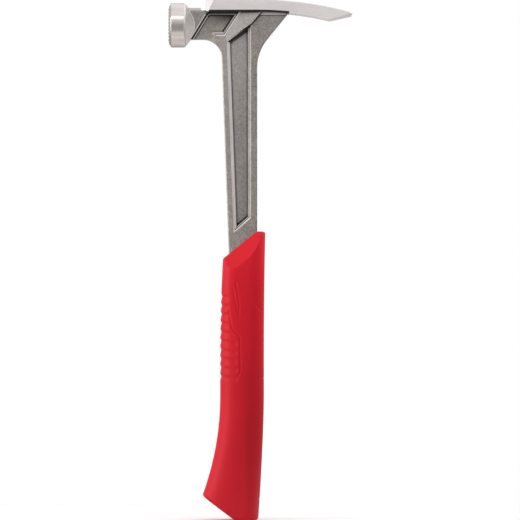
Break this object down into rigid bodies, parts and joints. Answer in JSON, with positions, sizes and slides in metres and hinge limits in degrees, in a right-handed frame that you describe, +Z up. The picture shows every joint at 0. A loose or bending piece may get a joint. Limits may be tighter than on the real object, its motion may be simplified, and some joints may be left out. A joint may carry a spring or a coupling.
{
  "type": "framing hammer",
  "caption": "One-piece forged steel framing hammer with a milled striking face, straight rip claw, I-beam shank, magnetic nail set and a flared moulded grip.",
  "frame": {"origin": "where the axis of the handle meets the flat of the butt", "axes": "+X from the striking face towards the claw, +Y across the hammer, +Z up the handle towards the head"},
  "size_m": [0.1348, 0.038, 0.381],
  "materials": {
    "forged_steel": "grey rough-forged shank and neck, bright ground poll, rail and claw",
    "magnet_plating": "bright nickel plate",
    "sleeve_rubber": "soft black elastomer",
    "grip_rubber": "red moulded elastomer, satin"
  },
  "bodies": {
    "root": {"forged_body": "forged_steel", "nail_magnet": "magnet_plating", "damping_sleeve": "sleeve_rubber", "grip": "grip_rubber"}
  },
  "joints": []
}
